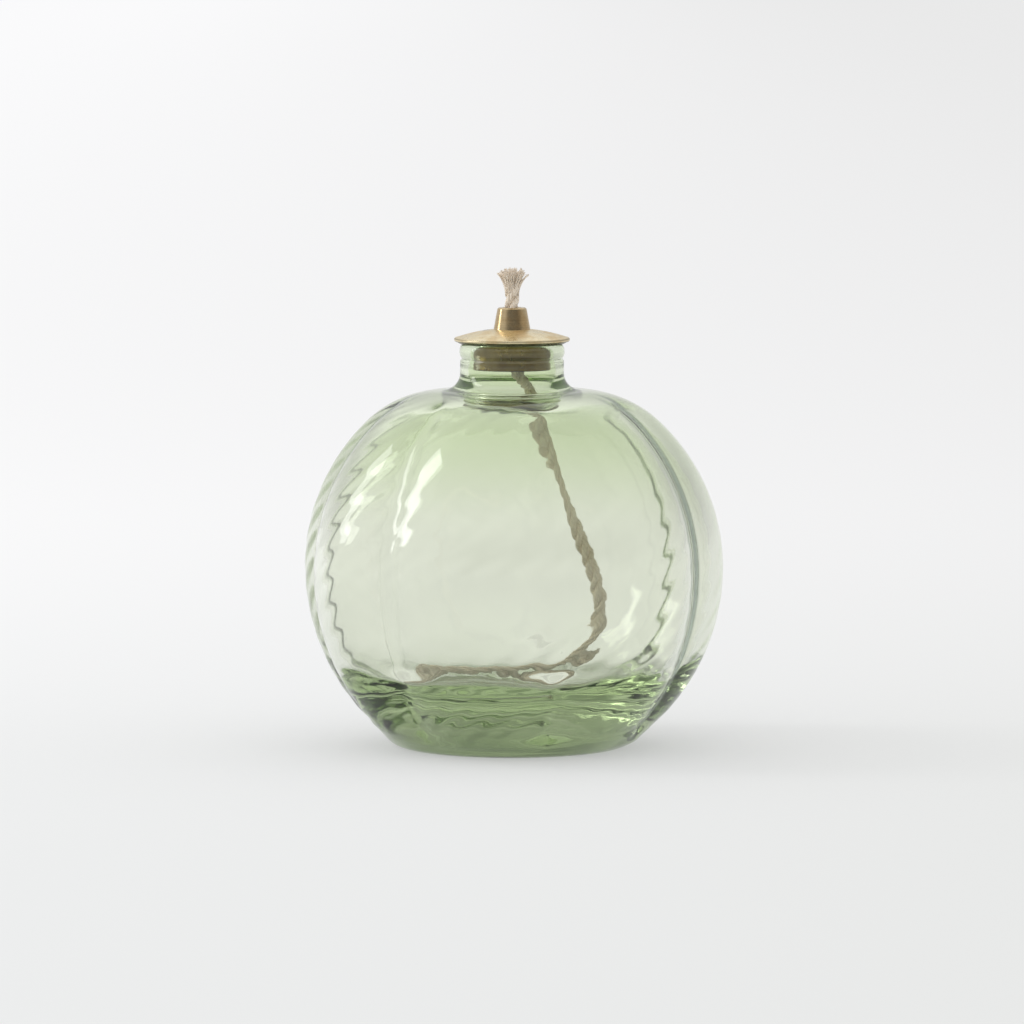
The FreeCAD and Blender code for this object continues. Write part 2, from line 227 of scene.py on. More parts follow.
class LampWickSettings(bpy.types.PropertyGroup):
    colour: bpy.props.FloatVectorProperty(
        name="Cotton", description="Colour of the clean cotton",
        default=linear("#FBEEDC"), subtype="COLOR")
    lay: bpy.props.FloatProperty(
        name="Lay", description="Length over which the strands turn once round the wick",
        default=11.0 * MM, unit="LENGTH")
    tufts: bpy.props.IntProperty(
        name="Tufts", description="Tufts that the frayed head parts into", default=30)
    fibres: bpy.props.IntProperty(
        name="Fibres", description="Loose fibres in each tuft", default=20)


# ---- stage ----

# light crosses the lobed walls and the heavy base many times before it leaves them
GLASS_BOUNCES = 32
SENSOR_WIDTH = 36.0
FLOOR_REACH = 30.0
# a film of air keeps the glass foot off the paper
AIR_FILM = 0.1 * MM
# places between which the paper's painted light changes, from left to right and from near to far
TONE_ACROSS = (-0.6, 0.6)
TONE_AWAY = (-0.25, 0.7)
WINDOW_PLACE = (-1.0, 0.1, 0.62)
WINDOW_AIM = (0, 0, 0.05)
WINDOW_SIZE = (0.24, 0.9)
# sines of the angles over the horizon between which the skirt and the ceiling meet the walls
SKIRT_EDGE = (0.0, 0.24)
CEILING_EDGE = (0.2, 0.65)
# the dark side of the room lies behind the camera and a little to its right: the way to the other
# side, and cosines of the angles from it between which the dark begins
BRIGHT_WAY = (-0.22, 0.975, 0.0)
DARK_EDGE = (-0.9, -0.3)


class LAMP_OT_stage(bpy.types.Operator):
    """Make the camera, the lights and the pale floor"""

    bl_idname = "oil_lamp.stage"
    bl_label = "Stage"

    def execute(self, context):
        settings = context.scene.lamp_stage
        self.make_camera(context.scene, settings)
        self.make_floor(settings)
        self.make_lights(context.scene, settings)
        context.scene.view_settings.view_transform = "Standard"
        context.scene.cycles.max_bounces = GLASS_BOUNCES
        context.scene.cycles.transmission_bounces = GLASS_BOUNCES
        context.scene.cycles.glossy_bounces = GLASS_BOUNCES
        return {"FINISHED"}

    def make_camera(self, scene, settings):
        lens = bpy.data.cameras.new("camera")
        lens.lens = settings.lens
        lens.sensor_width = SENSOR_WIDTH
        lens.clip_end = 100.0
        camera = bpy.data.objects.new("camera", lens)
        scene.collection.objects.link(camera)
        rise = settings.camera_rise
        away = Vector((0, -math.cos(rise), math.sin(rise))) * settings.camera_distance
        camera.location = Vector((0, 0, settings.camera_aim)) + away
        camera.rotation_euler = (math.pi / 2 - rise, 0, 0)
        scene.camera = camera

    def make_floor(self, settings):
        corners = [(x * FLOOR_REACH, y * FLOOR_REACH, -AIR_FILM)
                   for x, y in ((-1, -1), (1, -1), (1, 1), (-1, 1))]
        floor = new_piece("floor", corners, [(0, 1, 2, 3)], smooth=False)
        # a roll of matt white paper: no gloss, and a tone that changes only slowly. Its tone is
        # painted light, lighter on the window's side and darker away from it, with painted shade at
        # the front right for the lamp's soft shadow
        material, tree = blank_material("matt_white_paper")
        place = add(tree, "ShaderNodeTexCoord")
        axes = add(tree, "ShaderNodeSeparateXYZ", {"Vector": place.outputs["Object"]})
        right = add(tree, "ShaderNodeMapRange", {
            "Value": axes.outputs["X"], "From Min": TONE_ACROSS[0], "From Max": TONE_ACROSS[1],
        }, **EASED)
        behind = add(tree, "ShaderNodeMapRange", {
            "Value": axes.outputs["Y"], "From Min": TONE_AWAY[0], "From Max": TONE_AWAY[1],
        }, **EASED)
        near = add(tree, "ShaderNodeMix", {
            0: right.outputs["Result"], 6: (*settings.near_left, 1), 7: (*settings.near_right, 1),
        }, data_type="RGBA")
        far = add(tree, "ShaderNodeMix", {
            0: right.outputs["Result"], 6: (*settings.far_left, 1), 7: (*settings.far_right, 1),
        }, data_type="RGBA")
        tone = add(tree, "ShaderNodeMix", {
            0: behind.outputs["Result"], 6: near.outputs[2], 7: far.outputs[2]}, data_type="RGBA")
        paper = add(tree, "ShaderNodeBsdfDiffuse", {"Color": tone.outputs[2]})
        # where it is seen, also in metal and through glass, part of the paper's white is its own,
        # so that the lamp's shadow stays as faint as in a bright room
        ray = add(tree, "ShaderNodeLightPath")
        mirrored = add(tree, "ShaderNodeMath", {
            0: ray.outputs["Is Camera Ray"], 1: ray.outputs["Is Glossy Ray"]}, operation="MAXIMUM")
        seen = add(tree, "ShaderNodeMath", {
            0: mirrored.outputs["Value"], 1: ray.outputs["Is Transmission Ray"],
        }, operation="MAXIMUM")
        own = add(tree, "ShaderNodeMath", {
            0: seen.outputs["Value"], 1: settings.paper_glow}, operation="MULTIPLY")
        glow = add(tree, "ShaderNodeEmission", {"Color": tone.outputs[2], "Strength": 1.0})
        shader = add(tree, "ShaderNodeMixShader", {
            0: own.outputs["Value"], 1: paper.outputs[0], 2: glow.outputs[0]})
        add(tree, "ShaderNodeOutputMaterial", {"Surface": shader.outputs[0]})
        put_finish(floor, material)

    def make_lights(self, scene, settings):
        lamp = bpy.data.lights.new("window", "AREA")
        lamp.shape = "RECTANGLE"
        lamp.size, lamp.size_y = WINDOW_SIZE
        lamp.energy = settings.window_power
        window = bpy.data.objects.new("window", lamp)
        scene.collection.objects.link(window)
        window.location = WINDOW_PLACE
        aim = Vector(WINDOW_AIM) - window.location
        window.rotation_euler = aim.to_track_quat("-Z", "Y").to_euler()
        world = bpy.data.worlds.new("room")
        world.use_nodes = True
        scene.world = world
        tree = world.node_tree
        tree.nodes.clear()
        place = add(tree, "ShaderNodeTexCoord")
        ways = add(tree, "ShaderNodeSeparateXYZ", {"Vector": place.outputs["Generated"]})
        high = add(tree, "ShaderNodeMapRange", {
            "Value": ways.outputs["Z"], "From Min": CEILING_EDGE[0], "From Max": CEILING_EDGE[1],
        }, **EASED)
        across = add(tree, "ShaderNodeVectorMath", {
            0: place.outputs["Generated"], 1: BRIGHT_WAY}, operation="DOT_PRODUCT")
        back = add(tree, "ShaderNodeMapRange", {
            "Value": across.outputs["Value"], "From Min": DARK_EDGE[0], "From Max": DARK_EDGE[1],
        }, **EASED)
        walls = add(tree, "ShaderNodeMix", {
            0: back.outputs["Result"], 2: settings.front_light, 3: settings.wall_light})
        upper = add(tree, "ShaderNodeMix", {
            0: high.outputs["Result"], 2: walls.outputs[0], 3: settings.ceiling_light})
        skirt = add(tree, "ShaderNodeMapRange", {
            "Value": ways.outputs["Z"], "From Min": SKIRT_EDGE[0], "From Max": SKIRT_EDGE[1],
        }, **EASED)
        light = add(tree, "ShaderNodeMix", {
            0: skirt.outputs["Result"], 2: settings.skirt_light, 3: upper.outputs[0]})
        side = add(tree, "ShaderNodeMapRange", {
            "Value": ways.outputs["X"], "From Min": -1.0, "From Max": 1.0,
            "To Min": settings.left_share, "To Max": 2 - settings.left_share})
        strength = add(tree, "ShaderNodeMath", {
            0: light.outputs[0], 1: side.outputs["Result"]}, operation="MULTIPLY")
        sky = add(tree, "ShaderNodeBackground", {
            "Color": (1, 1, 1, 1), "Strength": strength.outputs["Value"]})
        add(tree, "ShaderNodeOutputWorld", {"Surface": sky.outputs[0]})


# ---- wick ----

# route of the free wick, from inside the nozzle down to its cut end on the glass floor
WICK_ROUTE = [
    (0.0, 0.0, 0.0970),
    (0.0, 0.0, 0.0926),
    (0.0025, 0.0005, 0.0860),
    (0.0054, 0.0013, 0.0770),
    (0.0094, 0.0026, 0.0665),
    (0.0143, 0.0042, 0.0555),
    (0.0189, 0.0060, 0.0450),
    (0.0221, 0.0074, 0.0345),
    (0.0212, 0.0088, 0.0250),
    (0.0144, 0.0080, 0.0182),
    (0.0050, 0.0022, 0.0170),
    (-0.0036, -0.0056, 0.01695),
    (-0.0136, -0.0074, 0.01715),
    (-0.0226, -0.0026, 0.0175),
]
WICK_RADIUS = 1.75 * MM
WICK_STEP = 0.35 * MM
PLIES = 3
STRANDS = 5
STRAND_SIDES = 6
# a ply's distance from the wick's line, a strand's from its ply's, and its radius, as shares of
# the wick's radius
PLY_OUT = 0.50
STRAND_OUT = 0.30
STRAND_THICK = 0.215
# length over which a strand turns once in its ply, as a share of the lay of the plies
STRAND_LAY = 0.62

# the twisted strands end this far over the nozzle's mouth, and a little way inside the fray
FRAY_RISE = 4.6 * MM
FRAY_OVERLAP = 0.4 * MM
# by how much they loosen there, from how far under the fray, and over what height
LOOSE_SHARE = 0.2
LOOSE_BELOW = 1.5 * MM
LOOSE_RUN = 3.0 * MM
# turn of the plies at the foot of the head
HEAD_TURN = 0.4

# turn from one tuft to the next, which spreads any number of them evenly, and how far it strays
GOLDEN_SHARE = 0.618
TUFT_STRAY = 0.2
# angle through which a tuft leans round the wick towards its tip
TUFT_LEAN = (0.15, 0.45)
# how far the outermost tufts spread, as a share of the plain head's radius, and the innermost one
# as a share of that
HEAD_FLARE = 1.3
TUFT_CORE = 0.08
TUFT_REACH = (0.88, 1.02)
# height of the middle of the fray, as a share of the room over the strands, and what its edge lacks
CROWN_RISE = 1.06
CROWN_FALL = 0.36
TUFT_RISE = (0.92, 1.0)

# a fibre's own turn from its tuft, the share of the wick's radius that the outermost start at, how
# that varies, and how deep among the strands a fibre starts
FIBRE_SPREAD = 0.28
FIBRE_ROOT = 0.93
FIBRE_ROOT_SHARE = (0.75, 1.1)
FIBRE_DEPTH = (0.3 * MM, 2.4 * MM)
# how far out, round and up its tip ends against its tuft's, how far it strays, and its radius
FIBRE_REACH = (0.86, 1.0)
FIBRE_TURN = 0.16
FIBRE_RISE = (0.88, 1.0)
FIBRE_STRAY = 0.09 * MM
FIBRE_RADIUS = (0.07 * MM, 0.11 * MM)
# it bends outward mostly near its tip, by this power of the way along it, and thins by this share
FIBRE_BEND = 2.2
FIBRE_THINNING = 0.45
FIBRE_STEPS = 9
FIBRE_SIDES = 5
FRAY_SEED = 4

# size of the clumps of fibres, drawn coarser than single fibres so that they show
COTTON_CLUMP = 0.35 * MM
COTTON_RELIEF = 0.15 * MM
# share of its colour that the cotton keeps in the gaps, and where in the noise gaps and fibres lie
COTTON_SHADE = 0.84
COTTON_GAP = 0.3
COTTON_FACE = 0.62


def route_line(step):
    """Points this far apart along the smooth line that the route's points control."""
    curve = bpy.data.curves.new("wick_route", "CURVE")
    curve.dimensions = "3D"
    curve.resolution_u = 24
    spline = curve.splines.new("NURBS")
    spline.points.add(len(WICK_ROUTE) - 1)
    for point, place in zip(spline.points, WICK_ROUTE):
        point.co = (*place, 1)
    spline.order_u = 3
    spline.use_endpoint_u = True
    holder = bpy.data.objects.new("wick_route", curve)
    bpy.context.scene.collection.objects.link(holder)
    bpy.context.view_layer.update()
    evaluated = holder.evaluated_get(bpy.context.evaluated_depsgraph_get())
    mesh = bpy.data.meshes.new_from_object(evaluated)
    raw = np.array([v.co for v in mesh.vertices])
    bpy.data.objects.remove(holder)
    bpy.data.curves.remove(curve)
    bpy.data.meshes.remove(mesh)
    along = np.concatenate([[0], np.cumsum(np.linalg.norm(np.diff(raw, axis=0), axis=1))])
    count = int(round(along[-1] / step)) + 1
    stops = np.linspace(0, along[-1], count)
    line = np.column_stack([np.interp(stops, along, raw[:, axis]) for axis in range(3)])
    return line, stops


def side_frames(line):
    """Two crosswise directions at each point of a line, carried along it without twist."""
    ahead = np.gradient(line, axis=0)
    ahead /= np.linalg.norm(ahead, axis=1)[:, None]
    first = np.zeros_like(line)
    first[0] = (1, 0, 0)
    for i in range(len(line)):
        carried = first[max(i - 1, 0)]
        carried = carried - ahead[i] * (carried @ ahead[i])
        first[i] = carried / np.linalg.norm(carried)
    return first, np.cross(ahead, first)


def tube(line, radii, sides):
    """Points and faces of a closed round tube along a line, with flat ends."""
    first, second = side_frames(line)
    turn = (np.arange(sides) * 2 * math.pi / sides)[None, :, None]
    ring = first[:, None] * np.cos(turn) + second[:, None] * np.sin(turn)
    points = (line[:, None] + ring * np.asarray(radii)[:, None, None]).reshape(-1, 3)
    faces = []
    for i in range(len(line) - 1):
        for j in range(sides):
            k = (j + 1) % sides
            faces.append((i * sides + j, i * sides + k, (i + 1) * sides + k, (i + 1) * sides + j))
    faces.append(tuple(reversed(range(sides))))
    faces.append(tuple((len(line) - 1) * sides + j for j in range(sides)))
    return points, faces


def joined(parts):
    """One list of points and faces from several."""
    points, faces, start = [], [], 0
    for some, shapes in parts:
        points.append(some)
        faces += [tuple(start + i for i in face) for face in shapes]
        start += len(some)
    return np.concatenate(points), faces


def strand_parts(line, stops, lay, spread, start_turn):
    """Tubes of the strands of all plies, twisted round a line; a spread of 1 is tight."""
    first, second = side_frames(line)
    parts = []
    ply_out = PLY_OUT * WICK_RADIUS
    strand_out = STRAND_OUT * WICK_RADIUS
    strand_radius = STRAND_THICK * WICK_RADIUS
    for ply in range(PLIES):
        turn = start_turn + 2 * math.pi * (ply / PLIES + stops / lay)
        for strand in range(STRANDS):
            own = 2 * math.pi * strand / STRANDS - 2 * math.pi * stops / (STRAND_LAY * lay) + ply
            x = spread * (ply_out * np.cos(turn) + strand_out * np.cos(own))
            y = spread * (ply_out * np.sin(turn) + strand_out * np.sin(own))
            centre = line + first * x[:, None] + second * y[:, None]
            parts.append(tube(centre, np.full(len(line), strand_radius), STRAND_SIDES))
    return parts


def cotton(settings):
    """Undyed cotton, loosely spun and twisted: matt, creamy, darker between the strands."""
    material, tree = blank_material("undyed_cotton_twisted")
    place = add(tree, "ShaderNodeTexCoord")
    clumps = add(tree, "ShaderNodeTexNoise", {
        "Vector": place.outputs["Object"], "Scale": 1 / COTTON_CLUMP, "Detail": 4.0,
        "Roughness": 0.6})
    tone = add(tree, "ShaderNodeValToRGB", {"Fac": clumps.outputs["Fac"]})
    gap, face = tone.color_ramp.elements
    gap.position = COTTON_GAP
    gap.color = (*[COTTON_SHADE * c for c in settings.colour], 1)
    face.position = COTTON_FACE
    face.color = (*settings.colour, 1)
    rough = add(tree, "ShaderNodeBump", {
        "Height": clumps.outputs["Fac"], "Strength": 0.6, "Distance": COTTON_RELIEF})
    shader = add(tree, "ShaderNodeBsdfPrincipled", {
        "Base Color": tone.outputs["Color"], "Roughness": 0.92, "Normal": rough.outputs["Normal"],
        "Sheen Weight": 0.25, "Sheen Roughness": 0.6})
    add(tree, "ShaderNodeOutputMaterial", {"Surface": shader.outputs[0]})
    return material


class LAMP_OT_free_wick(bpy.types.Operator):
    """Make the free wick that hangs into the globe and lies on its floor"""

    bl_idname = "oil_lamp.free_wick"
    bl_label = "Free Wick"

    def execute(self, context):
        settings = context.scene.lamp_wick
        line, stops = route_line(WICK_STEP)
        points, faces = joined(strand_parts(line, stops, settings.lay, 1.0, 0.0))
        wick = new_piece("free_wick", points, faces)
        put_finish(wick, cotton(settings))
        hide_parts("wick_tail")
        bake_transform(wick)
        return {"FINISHED"}


class LAMP_OT_wick_head(bpy.types.Operator):
    """Make the wick's upper end: the stretch in the nozzle, the stem and the frayed head"""

    bl_idname = "oil_lamp.wick_head"
    bl_label = "Wick Head"

    def execute(self, context):
        settings = context.scene.lamp_wick
        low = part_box("wick_core")[0].z
        tip_low, tip_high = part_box("wick_tip")
        fray = tip_low.z + FRAY_RISE
        stops = np.arange(0, fray + FRAY_OVERLAP - low, WICK_STEP)
        line = np.column_stack([0 * stops, 0 * stops, low + stops])
        loose = smoothstep((line[:, 2] - fray + LOOSE_BELOW) / LOOSE_RUN)
        parts = strand_parts(line, stops, settings.lay, 1 + LOOSE_SHARE * loose, HEAD_TURN)
        parts += self.fray_parts(settings, fray, tip_high.z, (tip_high.x - tip_low.x) / 2)
        points, faces = joined(parts)
        head = new_piece("wick_head", points, faces)
        put_finish(head, cotton(settings))
        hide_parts("wick_core", "wick_tip")
        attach(head, "wick")
        return {"FINISHED"}

    def fray_parts(self, settings, fray, top, head_radius):
        """Tubes of the loose fibres, tuft by tuft, from the strands' end up to the top."""
        chance = random.Random(FRAY_SEED)
        steps = np.linspace(0, 1, FIBRE_STEPS)
        parts = []
        for number in range(settings.tufts):
            angle = 2 * math.pi * number * GOLDEN_SHARE + chance.uniform(-TUFT_STRAY, TUFT_STRAY)
            share = math.sqrt((number + 0.5) / settings.tufts)
            lean = chance.uniform(*TUFT_LEAN)
            reach = HEAD_FLARE * head_radius * (TUFT_CORE + (1 - TUFT_CORE) * share)
            reach *= chance.uniform(*TUFT_REACH)
            rise = (top - fray) * (CROWN_RISE - CROWN_FALL * share ** 3)
            rise *= chance.uniform(*TUFT_RISE)
            for _ in range(settings.fibres):
                start_angle = angle + chance.gauss(0, FIBRE_SPREAD)
                start_share = min(1, share * chance.uniform(*FIBRE_ROOT_SHARE))
                start_radius = FIBRE_ROOT * WICK_RADIUS * start_share
                start_height = fray - chance.uniform(*FIBRE_DEPTH)
                end_radius = reach * chance.uniform(*FIBRE_REACH)
                end_angle = angle + lean + chance.gauss(0, FIBRE_TURN)
                end_height = fray + rise * chance.uniform(*FIBRE_RISE)
                radius = start_radius + (end_radius - start_radius) * steps ** FIBRE_BEND
                turn = start_angle + (end_angle - start_angle) * steps
                height = start_height + (end_height - start_height) * steps
                fibre = np.column_stack([radius * np.cos(turn), radius * np.sin(turn), height])
                stray = np.array([chance.gauss(0, FIBRE_STRAY), chance.gauss(0, FIBRE_STRAY)])
                fibre[:, :2] += stray * steps[:, None]
                thick = chance.uniform(*FIBRE_RADIUS)
                parts.append(tube(fibre, thick * (1 - FIBRE_THINNING * steps ** 2), FIBRE_SIDES))
        return parts


# ---- glass ----

# the crest line of the globe is that of the construction model
GLOBE_RADIUS = 50.5 * MM
GLOBE_CENTRE = 42.7 * MM
UPPER_RISE = 48.95 * MM
VALLEYS = (189.0, 231.5, 284.0, 338.0, 387.0, 442.0, 498.0)
# half the width over which a valley is rounded, as a share of its lobe's width
VALLEY_ROUND = 0.05
WALL = 2.6 * MM
FOOT_EDGE = 7.3 * MM
PUNT_RADIUS = 17.0 * MM
PUNT_DEPTH = 0.9 * MM
LOBES_RISE = 6.0 * MM
FLOOR_HEIGHT = 15.0 * MM
FLOOR_DISH = 0.9 * MM
FLOOR_CORNER = 13.0 * MM
FLOOR_ROUND = 1.8 * MM
SHOULDER_RADIUS = 28.0 * MM
SHOULDER_OUTER = 35.5 * MM
SHOULDER_ROUND = 21.0 * MM
LOBES_FALL = 4.0 * MM
NECK_RADIUS = 12.4 * MM
NECK_FILLET = 4.2 * MM
NECK_BORE = 10.5 * MM
NECK_ROOT = 2.5 * MM
LIP_BORE = 10.0 * MM
LIP_HEIGHT = 4.6 * MM
# the lip is a fire-polished bead with a soft crease under it
LIP_SWELL = 0.15 * MM
LIP_BEAD = (1.05 * MM, 1.85 * MM)
LIP_LOW_TURN = -60.0
LIP_CREASE = 0.8 * MM
LIP_ROUNDING = 1.1 * MM
BEAD_POINTS = 22
CREASE_POINTS = 8
GLASS_STEP = 0.85 * MM
COLUMNS_PER_LOBE = 40
# how much closer the columns stand at the valleys than evenly
COLUMN_CROWDING = 0.4
# painted shade darkens two of the valleys, standing in for the dark lines that refraction draws
# along them: how much each, as a share of the most
SHADED_VALLEYS = (1.0, 0.0, 0.0, 1.0, 0.0, 0.0, 0.0)
# how far the painted shade shows beside a valley, as a share of the valley's depth, and how much
# wider it gets over the shoulder, from one radius inwards to another
VALLEY_SHADE_WIDTH = 0.10
VALLEY_SHADE_WIDER = 0.16
VALLEY_SHADE_WIDER_RADII = (38.0 * MM, 28.0 * MM)
# radii between which it runs out in a point
VALLEY_SHADE_END_RADII = (15.5 * MM, 26.0 * MM)
# the ribs came out stronger on one side, by this share of their height
RIB_CHANGE = 0.85
RIB_STRONG_SIDE = 215.0
# and weaker here and there, by this share at most
RIB_UNEVEN = 0.5
RIB_PATCHES = 5
RIB_PATCH_HEIGHT = 37.0 * MM
# towards the shoulder they melted away by this share, between these heights
RIB_CALM = 0.8
RIB_CALM_START = 50.0 * MM
RIB_CALM_END = 76.0 * MM
# rings that the spinning left in the heavy base: spacing, height, turns round the globe, start
BASE_RINGS = (
    (3.3 * MM, 0.05 * MM, 1, 0.0),
    (5.1 * MM, 0.09 * MM, -2, 2.0),
    (8.7 * MM, 0.14 * MM, 1, 4.0),
    (13.9 * MM, 0.20 * MM, 2, 1.0),
)
# height over which they fade into the wall, and radius over which they begin round the axis
RINGS_FADE = 12.0 * MM
# height over the table in which they begin, so that the foot stays flat
RINGS_START = 1.5 * MM
# a little roughness stands for fine seeds and cords, and softens what shows through the glass
GLASS_ROUGHNESS = 0.04
# heights between which the glass turns from thin to gathered
GATHER_START = 50.0 * MM
GATHER_END = 80.0 * MM
# heights between which the painted shade of the foot fades into clear wall
FOOT_SHADE_LOW = 3.5 * MM
FOOT_SHADE_HIGH = 12.5 * MM


def arc_points(centre, radii, start, end):
    """Points along an arc of a circle or ellipse, without its last point."""
    length = abs(end - start) * max(radii)
    count = max(4, int(round(length / GLASS_STEP)))
    turn = np.linspace(start, end, count + 1)[:-1]
    return np.column_stack([
        centre[0] + radii[0] * np.cos(turn), centre[1] + radii[1] * np.sin(turn)])


def line_points(start, end):
    """Points along a straight line, without its last point."""
    length = math.dist(start, end)
    count = max(1, int(round(length / GLASS_STEP)))
    share = np.linspace(0, 1, count + 1)[:-1, None]
    return np.array(start) * (1 - share) + np.array(end) * share


def cap_points(start, end):
    """Points along a shallow arc about a centre on the axis."""
    centre = (end[0] ** 2 + end[1] ** 2 - start[0] ** 2 - start[1] ** 2) / (2 * (end[1] - start[1]))
    radius = math.hypot(start[0], start[1] - centre)
    turns = [math.atan2(p[1] - centre, p[0]) for p in (start, end)]
    return arc_points((0, centre), (radius, radius), *turns)


def foot_bend():
    """Radius of the flat foot, and the turn at which its rounded edge runs into the globe."""
    foot = math.sqrt((GLOBE_RADIUS - FOOT_EDGE) ** 2 - (GLOBE_CENTRE - FOOT_EDGE) ** 2)
    return foot, math.atan2(FOOT_EDGE - GLOBE_CENTRE, foot)


def shoulder_centre():
    """Centre of the shoulder's bend, and the slope of the globe where the bend begins."""
    share = math.sqrt(1 - (SHOULDER_OUTER / GLOBE_RADIUS) ** 2)
    slope = math.atan2(UPPER_RISE * SHOULDER_OUTER, GLOBE_RADIUS ** 2 * share)
    centre = (
        SHOULDER_OUTER - SHOULDER_RADIUS * math.sin(slope),
        GLOBE_CENTRE + UPPER_RISE * share - SHOULDER_RADIUS * math.cos(slope),
    )
    return centre, slope


def globe_points(inset, low_turn):
    """The crest line from a turn on the lower sphere up to where the shoulder's bend begins."""
    centre, slope = shoulder_centre()
    radius, rise, bend = GLOBE_RADIUS - inset, UPPER_RISE - inset, SHOULDER_RADIUS - inset
    leave = (centre[0] + bend * math.sin(slope), centre[1] + bend * math.cos(slope))
    turn = math.atan2((leave[1] - GLOBE_CENTRE) / rise, leave[0] / radius)
    return np.concatenate([
        arc_points((0, GLOBE_CENTRE), (radius, radius), low_turn, 0),
        arc_points((0, GLOBE_CENTRE), (radius, rise), 0, turn),
    ])


def shoulder_points(bend, neck, fillet):
    """Points along the shoulder's bend and the fillet into the neck, and the fillet's height."""
    centre, slope = shoulder_centre()
    middle = neck + fillet
    reach = math.sqrt((bend + fillet) ** 2 - (middle - centre[0]) ** 2)
    meet = math.atan2(reach, middle - centre[0])
    height = centre[1] + reach
    return np.concatenate([
        arc_points(centre, (bend, bend), math.pi / 2 - slope, meet),
        arc_points((middle, height), (fillet, fillet), meet + math.pi, math.pi),
    ]), height


def lobes_end(inset):
    """Height at which the lobes have melted into the shoulder's bend."""
    centre, _ = shoulder_centre()
    return centre[1] + math.sqrt((SHOULDER_RADIUS - inset) ** 2 - (SHOULDER_ROUND - centre[0]) ** 2)


def outside_outline():
    """Crest line of the outside, from the middle of the punt up to the rim."""
    foot, low_turn = foot_bend()
    shoulder, fillet_height = shoulder_points(SHOULDER_RADIUS, NECK_RADIUS, NECK_FILLET)
    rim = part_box("glass_vessel")[1].z
    lip = NECK_RADIUS + LIP_SWELL
    turn = np.radians(np.linspace(LIP_LOW_TURN, 90, BEAD_POINTS))[:-1]
    bead = np.column_stack([
        lip + LIP_BEAD[0] * (np.cos(turn) - 1), rim + LIP_BEAD[1] * (np.sin(turn) - 1)])
    bead_low = bead[0]
    share = np.linspace(0, 1, CREASE_POINTS)[:-1]
    crease = np.column_stack([
        NECK_RADIUS + (bead_low[0] - NECK_RADIUS) * smoothstep(share),
        bead_low[1] - LIP_CREASE * (1 - share)])
    return np.concatenate([
        cap_points((0, PUNT_DEPTH), (PUNT_RADIUS, 0)),
        line_points((PUNT_RADIUS, 0), (foot, 0)),
        arc_points((foot, FOOT_EDGE), (FOOT_EDGE, FOOT_EDGE), -math.pi / 2, low_turn),
        globe_points(0, low_turn),
        shoulder,
        line_points((NECK_RADIUS, fillet_height), (NECK_RADIUS, bead_low[1] - LIP_CREASE)),
        crease,
        bead,
        [(lip - LIP_BEAD[0], rim)],
    ])


def inside_outline():
    """Crest line of the inside, from the middle of the floor up to the rim."""
    radius = GLOBE_RADIUS - WALL
    corner_height = FLOOR_HEIGHT + FLOOR_DISH + FLOOR_CORNER
    corner_radius = math.sqrt((radius - FLOOR_CORNER) ** 2 - (GLOBE_CENTRE - corner_height) ** 2)
    low_turn = math.atan2(corner_height - GLOBE_CENTRE, corner_radius)
    shoulder, root_height = shoulder_points(SHOULDER_RADIUS - WALL, NECK_BORE, NECK_ROOT)
    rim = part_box("glass_vessel")[1].z
    lip_low = rim - LIP_HEIGHT
    step = NECK_BORE - LIP_BORE
    return np.concatenate([
        cap_points((0, FLOOR_HEIGHT), (corner_radius, FLOOR_HEIGHT + FLOOR_DISH)),
        arc_points(
            (corner_radius, corner_height), (FLOOR_CORNER, FLOOR_CORNER), -math.pi / 2, low_turn),
        globe_points(WALL, low_turn),
        shoulder,
        line_points((NECK_BORE, root_height), (NECK_BORE, lip_low - step)),
        line_points((NECK_BORE, lip_low - step), (LIP_BORE, lip_low + step)),
        line_points((LIP_BORE, lip_low + step), (LIP_BORE, rim - LIP_ROUNDING)),
        arc_points((LIP_BORE + LIP_ROUNDING, rim - LIP_ROUNDING), (LIP_ROUNDING, LIP_ROUNDING),
                   math.pi, math.pi / 2),
        [(LIP_BORE + LIP_ROUNDING, rim)],
    ])


